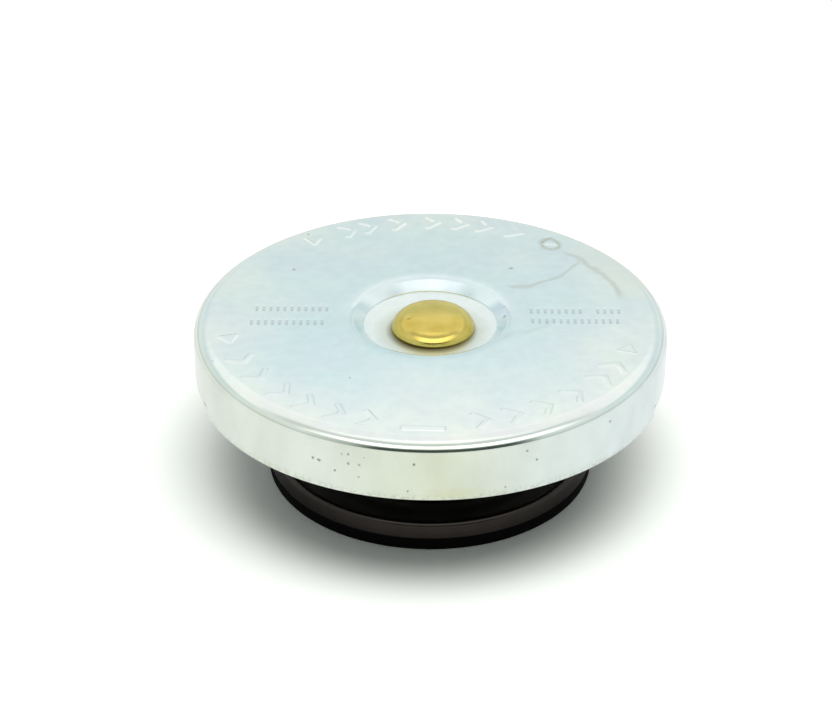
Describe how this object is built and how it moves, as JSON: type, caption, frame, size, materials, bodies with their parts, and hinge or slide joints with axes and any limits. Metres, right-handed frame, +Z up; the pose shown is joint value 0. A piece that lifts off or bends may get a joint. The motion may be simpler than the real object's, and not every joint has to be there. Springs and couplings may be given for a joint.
{
  "type": "radiator pressure cap",
  "caption": "Round pressed-steel radiator cap with a straight skirt, locking lugs, a brass centre rivet, and a sprung pressure valve with a vacuum valve inside it.",
  "frame": {"origin": "on the cap's axis, at the plane of the pressure seal's lower face, which the cap rests on", "axes": "+Z up along the cap's axis towards the rivet head, +X towards one locking lug"},
  "size_m": [0.066, 0.066, 0.0244],
  "materials": {
    "zinc_plated_shell": "bright zinc plate with a pale blue and yellow passivate",
    "brass": "polished, slightly tarnished",
    "plated_steel": "dull zinc plate",
    "dull_steel": "dark dull plate",
    "spring_steel": "drawn and plated",
    "rubber": "moulded black rubber"
  },
  "bodies": {
    "core": {"centre_rivet": "brass", "rivet_washer": "plated_steel", "friction_spring": "spring_steel", "upper_seal": "rubber", "spring_seat": "plated_steel", "guide_cup": "plated_steel", "pressure_spring": "spring_steel"},
    "cover": {"cap_shell": "zinc_plated_shell"},
    "pressure_valve": {"valve_plate": "dull_steel", "valve_hanger": "plated_steel", "pressure_seal": "rubber", "seal_retainer": "plated_steel", "seat_eyelet": "brass", "vacuum_spring": "spring_steel"},
    "vacuum_valve": {"vacuum_disc": "brass", "vacuum_seal": "rubber", "vacuum_stem": "brass", "spring_keeper": "brass"}
  },
  "joints": [
    {"name": "shell_turn", "type": "hinge", "parent": "core", "child": "cover", "pos_m": [0, 0, 0.0219], "axis": [0, 0, 1], "continuous": true},
    {"name": "pressure_lift", "type": "slide", "parent": "core", "child": "pressure_valve", "axis": [0, 0, 1], "range_m": [0, 0.0032], "stiffness_N_per_m": 1000, "springref_m": -0.003, "deforming": ["pressure_spring"]},
    {"name": "vacuum_drop", "type": "slide", "parent": "pressure_valve", "child": "vacuum_valve", "axis": [0, 0, -1], "range_m": [0, 0.0015], "stiffness_N_per_m": 60, "springref_m": -0.002, "deforming": ["vacuum_spring"]}
  ]
}
